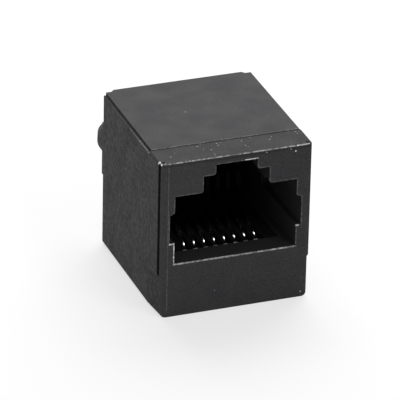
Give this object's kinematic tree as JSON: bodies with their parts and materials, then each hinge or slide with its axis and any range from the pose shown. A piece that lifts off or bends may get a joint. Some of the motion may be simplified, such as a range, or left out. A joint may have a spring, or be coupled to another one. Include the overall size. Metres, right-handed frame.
{
  "type": "pcb ethernet jack",
  "caption": "Vertical board-mount modular jack: black moulded housing with a stepped mouth, and a wire carrier with sprung gold contacts, locating posts and solder tails.",
  "frame": {"origin": "middle of the whole jack's box in X and Y, on the flat contact side that it lies on", "axes": "+X to the right when facing the mouth, +Y from the mouth towards the board, +Z from the contact side to the latch side"},
  "size_m": [0.0152, 0.0202, 0.0163],
  "materials": {
    "housing_plastic": "black moulded thermoplastic",
    "carrier_plastic": "black moulded thermoplastic",
    "contact_wire": "gold-plated phosphor bronze"
  },
  "bodies": {
    "root": {"housing": "housing_plastic", "contact_carrier": "carrier_plastic", "contact_1": "contact_wire", "contact_2": "contact_wire", "contact_3": "contact_wire", "contact_4": "contact_wire", "contact_5": "contact_wire", "contact_6": "contact_wire", "contact_7": "contact_wire", "contact_8": "contact_wire"}
  },
  "joints": []
}
